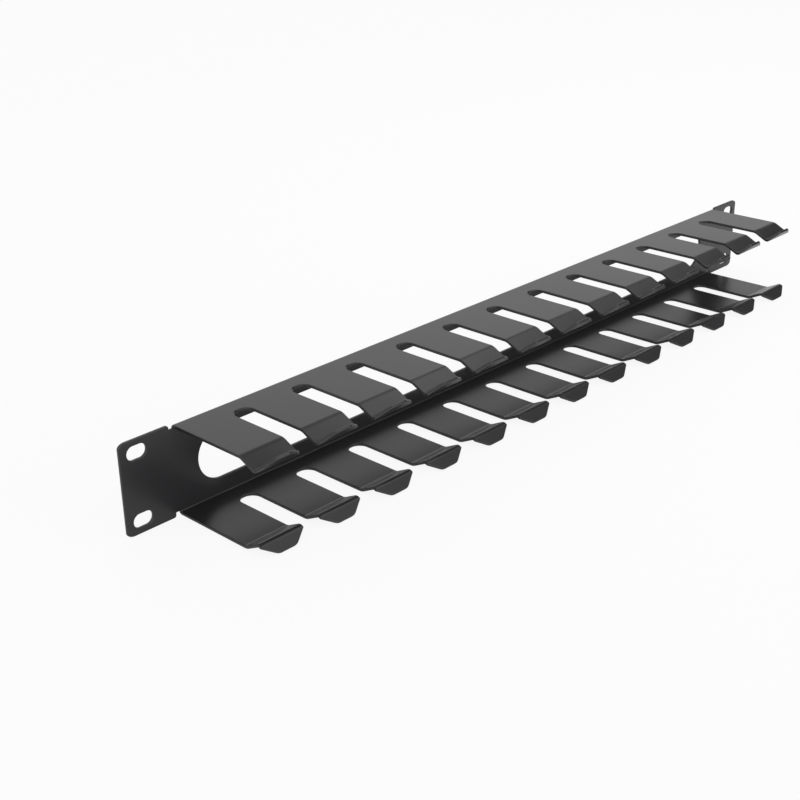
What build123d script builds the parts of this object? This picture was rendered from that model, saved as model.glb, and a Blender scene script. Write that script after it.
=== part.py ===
from build123d import *
import os
from math import cos, radians, sin

# Horizontal cable manager, one rack unit high, for a rack with 19 inch rails.
# The whole product is one steel sheet, folded into a channel that is open to
# the front, with its two flanges slit into rows of fingers.
# X runs along the rack's width, Y to the back of the rack and Z up. The origin
# is the middle of the panel's rear face, which is the face that the rails meet.

# Sheet and front panel
SHEET = 1.5
PANEL_WIDTH = 482.6
PANEL_HEIGHT = 44.0
EAR_CORNER = 4.0

# Rack slots in the ears, on the rack's own hole spacing
RACK_HOLE_SPAN = 465.1
RACK_HOLE_RISE = 31.75
RACK_SLOT_LENGTH = 10.0
RACK_SLOT_HEIGHT = 6.5

# Window along the middle of the panel
WINDOW_LENGTH = 403.0
WINDOW_HEIGHT = 24.4

# Channel: outside height, inner bend radius and the notch beside each flange
CHANNEL_HEIGHT = 43.3
FLANGE_BEND = 0.5
NOTCH_WIDTH = 2.2

# Fingers and the slots between them
FINGER_COUNT = 13
FINGER_WIDTH = 23.6
SLOT_WIDTH = 10.0
SLOT_ROOT = 10.0

# Finger ends, measured on the middle of the sheet: the straight part, then the
# slope into the channel, then the lip that turns out again. The bend before the
# slope is an easy one and the bend before the lip a tight one.
FLAT_REACH = 45.0
SLOPE_LENGTH = 9.3
SLOPE_ANGLE = 26.5
SLOPE_BEND = 5.0
LIP_LENGTH = 6.7
LIP_ANGLE = 47.0
LIP_BEND = 1.2

# Corners cut off each lip
LIP_EDGE_WIDTH = 9.4
LIP_CORNER_RUN = 5.0

# Sizes that follow from the ones above
PITCH = FINGER_WIDTH + SLOT_WIDTH
CHANNEL_WIDTH = FINGER_COUNT * FINGER_WIDTH + (FINGER_COUNT - 1) * SLOT_WIDTH
HALF_SHEET = SHEET / 2
FLANGE_Z = CHANNEL_HEIGHT / 2 - HALF_SHEET
BEND_LINE_Z = CHANNEL_HEIGHT / 2 - SHEET - FLANGE_BEND
VALLEY_Y = -FLAT_REACH - SLOPE_LENGTH * cos(radians(SLOPE_ANGLE))
VALLEY_Z = FLANGE_Z - SLOPE_LENGTH * sin(radians(SLOPE_ANGLE))
TIP_Y = VALLEY_Y - LIP_LENGTH * cos(radians(LIP_ANGLE))
TIP_Z = VALLEY_Z + LIP_LENGTH * sin(radians(LIP_ANGLE))

os.makedirs("parts", exist_ok=True)

with BuildPart() as panel:
    # Flat panel with its ears, seen from the front. The strips above and below
    # the bend lines are taken off between the ears, which leaves the notches.
    with BuildSketch(Plane.XZ) as face:
        RectangleRounded(PANEL_WIDTH, PANEL_HEIGHT, EAR_CORNER)
        strip_height = PANEL_HEIGHT / 2 - BEND_LINE_Z
        strip_z = BEND_LINE_Z + strip_height / 2
        with Locations((0, strip_z), (0, -strip_z)):
            Rectangle(CHANNEL_WIDTH + 2 * NOTCH_WIDTH, strip_height, mode=Mode.SUBTRACT)
        with GridLocations(RACK_HOLE_SPAN, RACK_HOLE_RISE, 2, 2):
            SlotOverall(RACK_SLOT_LENGTH, RACK_SLOT_HEIGHT, mode=Mode.SUBTRACT)
    extrude(amount=SHEET)

    # The folded channel, drawn as the middle line of the sheet from one lip to
    # the other and given the sheet's thickness
    with BuildSketch(Plane.YZ) as fold:
        with BuildLine() as middle:
            Polyline(
                (TIP_Y, TIP_Z),
                (VALLEY_Y, VALLEY_Z),
                (-FLAT_REACH, FLANGE_Z),
                (-HALF_SHEET, FLANGE_Z),
                (-HALF_SHEET, -FLANGE_Z),
                (-FLAT_REACH, -FLANGE_Z),
                (VALLEY_Y, -VALLEY_Z),
                (TIP_Y, -TIP_Z),
            )
            corners = middle.vertices().group_by(Axis.Y)
            fillet(corners[-1], FLANGE_BEND + HALF_SHEET)
            fillet(corners[2], SLOPE_BEND + HALF_SHEET)
            fillet(corners[1], LIP_BEND + HALF_SHEET)
        trace(line_width=SHEET)
    extrude(amount=CHANNEL_WIDTH / 2, both=True)

    # Window through the panel
    with BuildSketch(Plane.XZ):
        SlotOverall(WINDOW_LENGTH, WINDOW_HEIGHT)
    extrude(amount=SHEET, mode=Mode.SUBTRACT)

    # Slots between the fingers, cut through both flanges, round at the root
    slot_length = 2 * FLAT_REACH
    with BuildSketch(Plane.XY):
        with Locations((0, -SLOT_ROOT - slot_length / 2)):
            with GridLocations(PITCH, 1, FINGER_COUNT - 1, 1):
                SlotOverall(slot_length, SLOT_WIDTH, rotation=90)
    extrude(amount=CHANNEL_HEIGHT, both=True, mode=Mode.SUBTRACT)

    # Corners cut off every lip, drawn on the lip's own plane from its front edge
    corner_x = LIP_EDGE_WIDTH / 2
    side_x = FINGER_WIDTH / 2
    for side in (1, -1):
        lip_plane = Plane(
            origin=(0, TIP_Y, side * TIP_Z),
            x_dir=(1, 0, 0),
            z_dir=(0, -side * sin(radians(LIP_ANGLE)), -cos(radians(LIP_ANGLE))),
        )
        with BuildSketch(lip_plane):
            with GridLocations(PITCH, 1, FINGER_COUNT, 1):
                for hand in (1, -1):
                    Polygon(
                        (hand * corner_x, 0),
                        (hand * side_x, -LIP_CORNER_RUN),
                        (hand * (side_x + SHEET), -LIP_CORNER_RUN),
                        (hand * (side_x + SHEET), SHEET),
                        (hand * corner_x, SHEET),
                        align=None,
                    )
        extrude(amount=SHEET, both=True, mode=Mode.SUBTRACT)

panel.part.label = "fingered_panel"
export_step(panel.part, "parts/fingered_panel.step")
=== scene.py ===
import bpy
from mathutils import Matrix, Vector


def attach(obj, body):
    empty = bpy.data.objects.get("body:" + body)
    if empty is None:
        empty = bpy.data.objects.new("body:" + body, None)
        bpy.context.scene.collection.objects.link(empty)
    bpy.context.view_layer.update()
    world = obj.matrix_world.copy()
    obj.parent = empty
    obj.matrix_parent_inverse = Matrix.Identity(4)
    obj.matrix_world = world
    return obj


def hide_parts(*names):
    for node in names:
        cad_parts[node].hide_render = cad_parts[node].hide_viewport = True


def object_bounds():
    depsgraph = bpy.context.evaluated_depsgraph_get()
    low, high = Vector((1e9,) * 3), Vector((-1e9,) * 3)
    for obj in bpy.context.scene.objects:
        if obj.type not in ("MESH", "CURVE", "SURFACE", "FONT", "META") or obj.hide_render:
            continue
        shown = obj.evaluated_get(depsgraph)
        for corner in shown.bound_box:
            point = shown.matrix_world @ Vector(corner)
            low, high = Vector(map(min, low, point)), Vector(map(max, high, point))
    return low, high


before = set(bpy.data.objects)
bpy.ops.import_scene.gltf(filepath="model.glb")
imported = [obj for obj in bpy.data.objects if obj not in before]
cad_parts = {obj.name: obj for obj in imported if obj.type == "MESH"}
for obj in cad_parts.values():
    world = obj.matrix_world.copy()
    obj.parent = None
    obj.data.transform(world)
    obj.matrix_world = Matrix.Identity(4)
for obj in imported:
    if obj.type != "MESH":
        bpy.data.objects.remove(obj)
cad_box = [list(corner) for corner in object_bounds()]

from math import cos, pi, radians, sin, tan
import bmesh
import bpy
from mathutils import Matrix, Vector

# Folded sheet. The whole cable manager is one piece of 1.5 mm steel sheet: cut
# flat with its slots, window and notches, then folded into a channel, with the
# end of each finger bent in and its lip bent out again.
MM = 0.001
SHEET = 1.5 * MM
PANEL_HALF = 241.3 * MM
EAR_TOP = 22.0 * MM
EAR_CORNER = 4.0 * MM
RACK_SLOT_X = 232.55 * MM
RACK_SLOT_Z = 15.875 * MM
RACK_SLOT_LENGTH = 10.0 * MM
RACK_SLOT_HEIGHT = 6.5 * MM
WINDOW_LENGTH = 403.0 * MM
WINDOW_HEIGHT = 24.4 * MM
NOTCH_WIDTH = 2.2 * MM
FINGERS = 13
FINGER_WIDTH = 23.6 * MM
SLOT_WIDTH = 10.0 * MM
SLOT_ROOT = 10.0 * MM
CHANNEL_HALF = 213.4 * MM
FLANGE_TOP = 21.65 * MM
FLANGE_BEND = 0.5 * MM
FLAT_REACH = 45.0 * MM
SLOPE_LENGTH = 9.3 * MM
SLOPE_ANGLE = radians(26.5)
SLOPE_BEND = 5.0 * MM
LIP_LENGTH = 6.7 * MM
LIP_ANGLE = radians(47)
LIP_BEND = 1.2 * MM
LIP_EDGE_WIDTH = 9.4 * MM
LIP_CORNER = 1.2 * MM
NOTCH_CORNER = 1.2 * MM
CUT_EDGE = 0.35 * MM
FOLD_STEPS = 8
SLOPE_STEPS = 6
LIP_STEPS = 8
ROOT_STEPS = 12
EAR_CORNER_STEPS = 10
CORNER_STEPS = 4
CUT_EDGE_STEPS = 3
BAR_SIDES = 64
BEVELLED_FROM = radians(50)
SMOOTH_UP_TO = radians(40)
NEAR = 0.01 * MM


def choose(kind, test, loose=False):
    """Selects what has all its corners where the test says, or only its open edges along X."""
    bpy.ops.mesh.select_mode(type=kind)
    bpy.ops.mesh.select_all(action="DESELECT")
    mesh = bmesh.from_edit_mesh(sheet.data)
    corners = {"VERT": lambda v: [v], "EDGE": lambda e: e.verts, "FACE": lambda f: f.verts}[kind]
    for item in {"VERT": mesh.verts, "EDGE": mesh.edges, "FACE": mesh.faces}[kind]:
        item.select = all(test(v.co) for v in corners(item))
        if loose and item.select:
            start, end = (v.co for v in item.verts)
            along_x = abs(start.x - end.x) > NEAR
            item.select = len(item.link_faces) == 1 and along_x and on_finger(start, end)
    mesh.select_flush_mode()
    bmesh.update_edit_mesh(sheet.data)


def on_finger(start, end):
    """Does the middle of an edge lie within the width of a finger?"""
    middle = (start.x + end.x) / 2
    return any(abs(middle - x) < FINGER_WIDTH / 2 for x in finger_x)


def furthest():
    """The corner of the open mesh that is furthest to the front."""
    mesh = bmesh.from_edit_mesh(sheet.data)
    return min((v.co for v in mesh.verts), key=lambda place: place.y).copy()


def choose_front():
    """Selects the front edges of the fingers, as far as they have been made."""
    front = furthest().y
    choose("EDGE", lambda place: place.y < front + NEAR, loose=True)


def pull(x=0.0, y=0.0, z=0.0):
    """Extrudes the selected edges straight to one side."""
    bpy.ops.mesh.extrude_edges_move(TRANSFORM_OT_translate={"value": (x, y, z)})


def bend(y, z, angle, steps):
    """Turns the selected edges round a line along X, which leaves a bend."""
    bpy.ops.mesh.spin(steps=steps, angle=-angle, center=(0, y, z), axis=(1, 0, 0))


# Upper half of the web, on its rear face, up to the line where the bend begins
bpy.ops.object.select_all(action="DESELECT")
web_top = FLANGE_TOP - SHEET - FLANGE_BEND
bpy.ops.mesh.primitive_plane_add(size=1, location=(0, 0, web_top / 2), rotation=(pi / 2, 0, 0))
sheet = bpy.context.object
sheet.name = "folded_sheet"
sheet.scale = (2 * CHANNEL_HALF, web_top, 1)
bpy.ops.object.transform_apply(location=True, rotation=True, scale=True)
bpy.ops.object.mode_set(mode="EDIT")
pitch = FINGER_WIDTH + SLOT_WIDTH
finger_x = [(i - (FINGERS - 1) / 2) * pitch for i in range(FINGERS)]
for x in finger_x:
    for side in (x - FINGER_WIDTH / 2, x + FINGER_WIDTH / 2):
        if abs(side) < CHANNEL_HALF - NEAR:
            bpy.ops.mesh.select_all(action="SELECT")
            bpy.ops.mesh.bisect(plane_co=(side, 0, 0), plane_no=(1, 0, 0))

# Fold to the flange, then the flange as far as the middle of the slots' roots
choose("EDGE", lambda place: abs(place.z - web_top) < NEAR)
bend(-SHEET - FLANGE_BEND, web_top, pi / 2, FOLD_STEPS)
choose("EDGE", lambda place: abs(place.y + SHEET + FLANGE_BEND) < NEAR)
pull(y=SHEET + FLANGE_BEND - SLOT_ROOT)

# Fingers: the flat, the easy bend in, the slope, the tight bend out and the lip
slope_take = (SLOPE_BEND + SHEET / 2) * tan(SLOPE_ANGLE / 2)
lip_take = (LIP_BEND + SHEET / 2) * tan((SLOPE_ANGLE + LIP_ANGLE) / 2)
flat_end = FLAT_REACH - slope_take
slope_run = SLOPE_LENGTH - slope_take - lip_take
lip_run = LIP_LENGTH - lip_take
choose("EDGE", lambda place: abs(place.y + SLOT_ROOT) < NEAR, loose=True)
pull(y=SLOT_ROOT - flat_end)
choose_front()
bend(-flat_end, FLANGE_TOP - SHEET - SLOPE_BEND, SLOPE_ANGLE, SLOPE_STEPS)
choose_front()
pull(y=-slope_run * cos(SLOPE_ANGLE), z=-slope_run * sin(SLOPE_ANGLE))
choose_front()
foot = furthest()
lip_y = foot.y - LIP_BEND * sin(SLOPE_ANGLE)
lip_z = foot.z + LIP_BEND * cos(SLOPE_ANGLE)
bend(lip_y, lip_z, -SLOPE_ANGLE - LIP_ANGLE, LIP_STEPS)
choose_front()
pull(y=-lip_run * cos(LIP_ANGLE), z=lip_run * sin(LIP_ANGLE))
front = furthest().y
mesh = bmesh.from_edit_mesh(sheet.data)
for v in mesh.verts:
    if v.co.y < front + NEAR:
        centre = min(finger_x, key=lambda x: abs(x - v.co.x))
        v.co.x = centre + (v.co.x - centre) * LIP_EDGE_WIDTH / FINGER_WIDTH
bmesh.update_edit_mesh(sheet.data)

# Ears, with the notch left between each of them and the flange
ear_root = CHANNEL_HALF + NOTCH_WIDTH
for side in (1, -1):
    choose("EDGE", lambda place: abs(place.x - side * CHANNEL_HALF) < NEAR and abs(place.y) < NEAR)
    pull(x=side * NOTCH_WIDTH)
    pull(x=side * (PANEL_HALF - ear_root))
choose("EDGE", lambda place: abs(place.x) > ear_root - NEAR and abs(place.z - web_top) < NEAR)
pull(z=EAR_TOP - web_top)

# Flat faces are made whole, then the slots' roots and the corners are rounded
for test in (lambda place: abs(place.y) < NEAR, lambda place: abs(place.z - FLANGE_TOP) < NEAR):
    choose("FACE", test)
    bpy.ops.mesh.dissolve_faces()
choose("VERT", lambda place: abs(place.y + SLOT_ROOT) < NEAR and abs(place.x) < CHANNEL_HALF - NEAR)
bpy.ops.mesh.bevel(offset=SLOT_WIDTH / 2, segments=ROOT_STEPS, affect="VERTICES", clamp_overlap=False)
choose("VERT", lambda place: abs(place.z - EAR_TOP) < NEAR and abs(place.x) > PANEL_HALF - NEAR)
bpy.ops.mesh.bevel(offset=EAR_CORNER, segments=EAR_CORNER_STEPS, affect="VERTICES", clamp_overlap=False)
choose("VERT", lambda place: abs(place.z - EAR_TOP) < NEAR and abs(abs(place.x) - ear_root) < NEAR)
bpy.ops.mesh.bevel(offset=NOTCH_CORNER, segments=CORNER_STEPS, affect="VERTICES", clamp_overlap=False)
choose("VERT", lambda place: place.y < front + NEAR)
bpy.ops.mesh.bevel(offset=LIP_CORNER, segments=CORNER_STEPS, affect="VERTICES", clamp_overlap=False)
bpy.ops.mesh.select_all(action="SELECT")
bpy.ops.mesh.remove_doubles(threshold=NEAR)
bpy.ops.object.mode_set(mode="OBJECT")


def apply_modifier(kind, **settings):
    """Adds one modifier to the sheet and applies it."""
    modifier = sheet.modifiers.new(kind.lower(), kind)
    for name, value in settings.items():
        setattr(modifier, name, value)
    bpy.ops.object.modifier_apply(modifier=modifier.name)


# The lower half is the upper one's mirror image. The surface so far is the
# outside of the fold, and the sheet's thickness goes inwards from it.
apply_modifier("MIRROR", use_axis=(False, False, True), merge_threshold=NEAR)
bpy.ops.object.mode_set(mode="EDIT")
choose("FACE", lambda place: abs(place.y) < NEAR)
bpy.ops.mesh.dissolve_faces()
bpy.ops.mesh.select_all(action="SELECT")
bpy.ops.mesh.normals_make_consistent(inside=False)
mesh = bmesh.from_edit_mesh(sheet.data)
web = max((f for f in mesh.faces if abs(f.calc_center_median().y) < NEAR), key=lambda f: f.calc_area())
if web.normal.y < 0:
    bpy.ops.mesh.flip_normals()
bpy.ops.object.mode_set(mode="OBJECT")
apply_modifier("SOLIDIFY", thickness=SHEET, offset=-1, use_even_offset=True)


def cutter(length, height, x, z):
    """A bar with round ends, set across the panel, to cut one opening with."""
    bpy.ops.mesh.primitive_cylinder_add(
        vertices=BAR_SIDES, radius=height / 2, depth=4 * SHEET, rotation=(pi / 2, 0, 0)
    )
    bar = bpy.context.object
    bpy.ops.object.transform_apply(location=True, rotation=True, scale=True)
    half_side = Matrix.Rotation(pi / BAR_SIDES, 4, "Y")
    for v in bar.data.vertices:
        v.co = half_side @ v.co
        v.co.x += (length - height) / 2 * (1 if v.co.x > 0 else -1) + x
        v.co.z += z
    return bar


# Window and rack slots, then the small round that each cut edge has once coated
bars = [cutter(WINDOW_LENGTH, WINDOW_HEIGHT, 0, 0)]
for x in (RACK_SLOT_X, -RACK_SLOT_X):
    for z in (RACK_SLOT_Z, -RACK_SLOT_Z):
        bars.append(cutter(RACK_SLOT_LENGTH, RACK_SLOT_HEIGHT, x, z))
bpy.context.view_layer.objects.active = sheet
for bar in bars:
    apply_modifier("BOOLEAN", operation="DIFFERENCE", object=bar, solver="EXACT")
    bpy.data.objects.remove(bar)
apply_modifier(
    "BEVEL",
    width=CUT_EDGE,
    segments=CUT_EDGE_STEPS,
    limit_method="ANGLE",
    angle_limit=BEVELLED_FROM,
    use_clamp_overlap=False,
)
bpy.ops.object.select_all(action="DESELECT")
sheet.select_set(True)
bpy.ops.object.shade_smooth_by_angle(angle=SMOOTH_UP_TO)
apply_modifier("WEIGHTED_NORMAL", keep_sharp=True)


def linear(code):
    """An sRGB hex colour as linear RGBA."""
    parts = [int(code[i:i + 2], 16) / 255 for i in (1, 3, 5)]
    return [c / 12.92 if c <= 0.04045 else ((c + 0.055) / 1.055) ** 2.4 for c in parts] + [1]


def add_node(tree, kind, settings=None, links=None):
    """Adds a node, sets its attributes or sockets, and links its sockets to other nodes' outputs."""
    node = tree.nodes.new(kind)
    for name, value in (settings or {}).items():
        if isinstance(name, str) and hasattr(node, name):
            setattr(node, name, value)
        else:
            node.inputs[name].default_value = value
    for name, source in (links or {}).items():
        tree.links.new(source, node.inputs[name])
    return node


# Black powder coat, sprayed on dry and baked, over the whole sheet. It dries to
# a semi-matt skin with a fine orange peel, a little uneven in gloss. The real
# peel is 0.5 to 1 mm across, and is drawn 1.4 mm so that it can be seen at all.
PEEL = 1.4 * MM
PEEL_HEIGHT = 0.002 * MM
PEEL_DETAIL = 1.5
PEEL_ROUGHNESS = 0.45
CLOUD = 35 * MM
CLOUD_DETAIL = 3.0
GLOSSIEST = 0.28
DULLEST = 0.34
COAT_IOR = 1.5
coat = bpy.data.materials.new("black_powder_coat")
coat.use_nodes = True
tree = coat.node_tree
tree.nodes.clear()
place = add_node(tree, "ShaderNodeTexCoord").outputs["Object"]
peel = add_node(
    tree,
    "ShaderNodeTexNoise",
    {"Scale": 1 / PEEL, "Detail": PEEL_DETAIL, "Roughness": PEEL_ROUGHNESS},
    {"Vector": place},
)
bump = add_node(
    tree, "ShaderNodeBump", {"Strength": 1.0, "Distance": PEEL_HEIGHT}, {"Height": peel.outputs["Fac"]}
)
cloud = add_node(
    tree, "ShaderNodeTexNoise", {"Scale": 1 / CLOUD, "Detail": CLOUD_DETAIL}, {"Vector": place}
)
gloss = add_node(
    tree, "ShaderNodeMapRange", {"To Min": GLOSSIEST, "To Max": DULLEST}, {"Value": cloud.outputs["Fac"]}
)
shade = add_node(
    tree,
    "ShaderNodeMix",
    {"data_type": "RGBA", 6: linear("#1c1c1e"), 7: linear("#202022")},
    {0: peel.outputs["Fac"]},
)
skin = add_node(
    tree,
    "ShaderNodeBsdfPrincipled",
    {"IOR": COAT_IOR},
    {
        "Base Color": shade.outputs[2],
        "Roughness": gloss.outputs["Result"],
        "Normal": bump.outputs["Normal"],
    },
)
add_node(tree, "ShaderNodeOutputMaterial", links={"Surface": skin.outputs["BSDF"]})
sheet.data.materials.clear()
sheet.data.materials.append(coat)
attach(sheet, "root")
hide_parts("fingered_panel")

# Floor. A plain pale sheet of paper that the lower lips rest on, dull, so that it
# takes a soft shadow. The camera sees it white, and the black coat mirrors it in
# part as white.
PAPER_SIZE = 6.0
PAPER_TONE = 0.75
WHITE_SHARE = 0.9
COAT_SHARE = 0.30
bpy.ops.mesh.primitive_plane_add(size=PAPER_SIZE, location=(0, 0, cad_box[0][2]))
floor = bpy.context.object
floor.name = "floor"
paper = bpy.data.materials.new("white_paper")
paper.use_nodes = True
tree = paper.node_tree
tree.nodes.clear()
rays = add_node(tree, "ShaderNodeLightPath")
camera_share = add_node(
    tree,
    "ShaderNodeMath",
    {"operation": "MULTIPLY", 1: WHITE_SHARE},
    {0: rays.outputs["Is Camera Ray"]},
)
glossy_share = add_node(
    tree,
    "ShaderNodeMath",
    {"operation": "MULTIPLY_ADD", 1: COAT_SHARE},
    {0: rays.outputs["Is Glossy Ray"], 2: camera_share.outputs[0]},
)
white_share = add_node(
    tree,
    "ShaderNodeMath",
    {"operation": "MULTIPLY_ADD", 1: WHITE_SHARE},
    {0: rays.outputs["Is Transmission Ray"], 2: glossy_share.outputs[0]},
)
dull = add_node(tree, "ShaderNodeBsdfDiffuse", {"Color": (PAPER_TONE, PAPER_TONE, PAPER_TONE, 1)})
white = add_node(tree, "ShaderNodeEmission", {"Color": (1, 1, 1, 1), "Strength": 1.0})
cover = add_node(
    tree,
    "ShaderNodeMixShader",
    links={0: white_share.outputs[0], 1: dull.outputs[0], 2: white.outputs[0]},
)
add_node(tree, "ShaderNodeOutputMaterial", links={"Surface": cover.outputs[0]})
floor.data.materials.append(paper)

# Room. White walls, lit brightest at the foot, a dimmer ceiling and daylight low in
# front. The black coat takes most of its tone from what it mirrors of them, so they
# are set by how far round the X axis a direction lies, and by its own X.
WALL_FOOT = 1.4
WALL = 0.91
CEILING_LEFT = 0.9
CEILING_RIGHT = 0.2
CEILING_END = 0.0
FRONT_LEFT = 0.87
FRONT_RIGHT = 0.2
DAYLIGHT_LEFT = 2.6
DAYLIGHT_RIGHT = 0.3
world = bpy.data.worlds.new("white_room")
bpy.context.scene.world = world
world.use_nodes = True
tree = world.node_tree
tree.nodes.clear()
way = add_node(tree, "ShaderNodeTexCoord")
axes = add_node(tree, "ShaderNodeSeparateXYZ", links={0: way.outputs["Generated"]})
rise = add_node(
    tree,
    "ShaderNodeMath",
    {"operation": "ARCTAN2"},
    {0: axes.outputs["Z"], 1: axes.outputs["Y"]},
)


def change(value, start, end, before, after, blend="SMOOTHSTEP"):
    """A brightness that goes over from one to the other, each a number or an earlier brightness."""
    settings = {"interpolation_type": blend, "From Min": start, "From Max": end}
    links = {"Value": value}
    for name, brightness in (("To Min", before), ("To Max", after)):
        if isinstance(brightness, float):
            settings[name] = brightness
        else:
            links[name] = brightness
    return add_node(tree, "ShaderNodeMapRange", settings, links).outputs["Result"]


# First how bright each side of the room is from left to right, then one after
# the other from the foot of the back wall over the ceiling to the front
across = axes.outputs["X"]
over = rise.outputs[0]
wall = change(over, start=radians(5), end=radians(25), before=WALL_FOOT, after=WALL, blend="LINEAR")
ceiling = change(across, start=0.2, end=0.5, before=CEILING_LEFT, after=CEILING_RIGHT)
ceiling = change(across, start=0.75, end=0.88, before=ceiling, after=CEILING_END)
front = change(across, start=0.5, end=0.82, before=FRONT_LEFT, after=FRONT_RIGHT)
daylight = change(across, start=0.5, end=0.82, before=DAYLIGHT_LEFT, after=DAYLIGHT_RIGHT)
level = change(over, start=radians(40), end=radians(58), before=wall, after=ceiling)
level = change(over, start=radians(105), end=radians(130), before=level, after=front)
level = change(over, start=radians(140), end=radians(162), before=level, after=daylight)
rays = add_node(tree, "ShaderNodeLightPath")
seen = add_node(
    tree, "ShaderNodeMath", {"operation": "MAXIMUM"}, {0: rays.outputs["Is Camera Ray"], 1: level}
)
sky = add_node(tree, "ShaderNodeBackground", {"Color": (1, 1, 1, 1)}, {"Strength": seen.outputs[0]})
add_node(tree, "ShaderNodeOutputWorld", links={"Surface": sky.outputs[0]})

# Soft boxes. Two of them hang level overhead on the right, and the nearer one is
# the brighter. They lift the slopes of the upper fingers and the lower lips.
LAMP_HEIGHT = 0.60


def hang(name, width, length, watts, x, y, turn):
    """Hangs a rectangular soft box that faces straight down."""
    light = bpy.data.lights.new(name, "AREA")
    light.shape = "RECTANGLE"
    light.size = width
    light.size_y = length
    light.energy = watts
    lamp = bpy.data.objects.new(name, light)
    lamp.location = (x, y, LAMP_HEIGHT)
    lamp.rotation_euler = (0, 0, turn)
    bpy.context.scene.collection.objects.link(lamp)


hang("near_box", width=0.30, length=0.76, watts=1.15, x=0.353, y=-0.147, turn=radians(-20))
hang("far_box", width=0.35, length=0.50, watts=0.4, x=0.80, y=-0.10, turn=0)

# Viewpoint. Seen from the left of the front and a little above, from about
# 0.7 m away, so that both rows of fingers and the inside of the channel show.
VIEW_PLACE = Vector((-0.511361, -0.421237, 0.259542))
HEADING = radians(46.179)
LOOK_DOWN = radians(24.181)
ROLL = radians(-0.897)
FOCAL_LENGTH = 59.667
SENSOR_WIDTH = 36
SHIFT_RIGHT = -0.0017
SHIFT_UP = -0.0029
CLIP_START = 0.01
forward = Vector((sin(HEADING) * cos(LOOK_DOWN), cos(HEADING) * cos(LOOK_DOWN), -sin(LOOK_DOWN)))
level_right = Vector((cos(HEADING), -sin(HEADING), 0))
upright = level_right.cross(forward)
right = level_right * cos(ROLL) + upright * sin(ROLL)
top = upright * cos(ROLL) - level_right * sin(ROLL)
lens = bpy.data.cameras.new("photo_view")
lens.sensor_width = SENSOR_WIDTH
lens.lens = FOCAL_LENGTH
lens.shift_x = SHIFT_RIGHT
lens.shift_y = SHIFT_UP
lens.clip_start = CLIP_START
viewer = bpy.data.objects.new("photo_view", lens)
turned = Matrix((right, top, -forward)).transposed()
viewer.matrix_world = Matrix.Translation(VIEW_PLACE) @ turned.to_4x4()
bpy.context.scene.collection.objects.link(viewer)
bpy.context.scene.camera = viewer
bpy.context.scene.view_settings.view_transform = "Standard"
